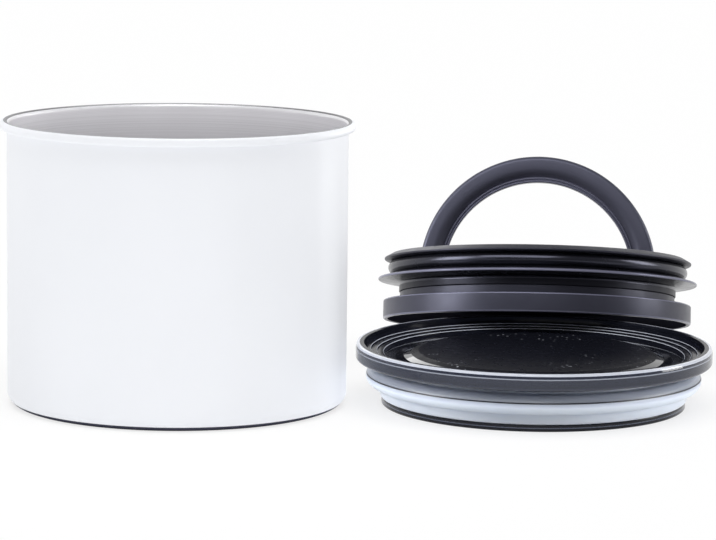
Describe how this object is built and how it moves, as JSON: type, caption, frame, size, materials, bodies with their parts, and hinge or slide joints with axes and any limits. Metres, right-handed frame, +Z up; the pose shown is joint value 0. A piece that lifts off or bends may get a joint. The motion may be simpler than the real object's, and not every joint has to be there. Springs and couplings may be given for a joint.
{
  "type": "coffee canister with valve",
  "caption": "Round white-coated steel coffee canister, open, with a see-through outer lid and a plunging black inner lid leaning on it, whose handle folds down to shut a valve.",
  "frame": {"origin": "centre of the canister's flat base, at table height", "axes": "+Z up along the canister's axis, +X towards the lids lying beside it, -Y towards the front"},
  "size_m": [0.2599, 0.2292, 0.1016],
  "materials": {
    "coat_white": "satin white coat outside, bare satin steel inside",
    "smoke_clear": "clear moulded plastic with a smoke-dark tint",
    "clear_silicone": "milky see-through silicone",
    "black_plastic": "black moulded plastic, finely satin",
    "black_rubber": "black silicone, smooth with a soft shine",
    "steel_rod": "drawn stainless rod"
  },
  "bodies": {
    "canister": {"canister_shell": "coat_white"},
    "outer_lid": {"outer_lid_shell": "smoke_clear", "outer_lid_gasket": "clear_silicone"},
    "inner_lid": {"lid_tray": "black_plastic", "plunger_gasket": "black_rubber", "guide_drum": "black_plastic", "base_plate": "black_plastic", "valve_cover": "black_plastic"},
    "handle": {"handle": "black_plastic", "pivot_rod": "steel_rod", "valve_cam": "black_plastic"},
    "valve": {"valve_plunger": "black_plastic", "valve_disc": "black_rubber"}
  },
  "joints": [
    {"name": "outer_lid_lift", "type": "slide", "parent": "canister", "child": "outer_lid", "axis": [0, 0, 1], "range_m": [0, 0.06]},
    {"name": "inner_lid_lift", "type": "slide", "parent": "outer_lid", "child": "inner_lid", "axis": [0.0138, 0.2262, 0.974], "range_m": [0, 0.075]},
    {"name": "handle_fold", "type": "hinge", "parent": "inner_lid", "child": "handle", "pos_m": [0.13458, 0.10593, 0.03102], "axis": [-0.9981, 0.061, 0], "range_deg": [0, 90]},
    {"name": "valve_travel", "type": "slide", "parent": "inner_lid", "child": "valve", "axis": [-0.0138, -0.2262, -0.974], "range_m": [0, 0.00165]}
  ],
  "couplings": [
    {"joint": "valve_travel", "follows": "handle_fold", "m_per_rad": 0.0010186}
  ]
}
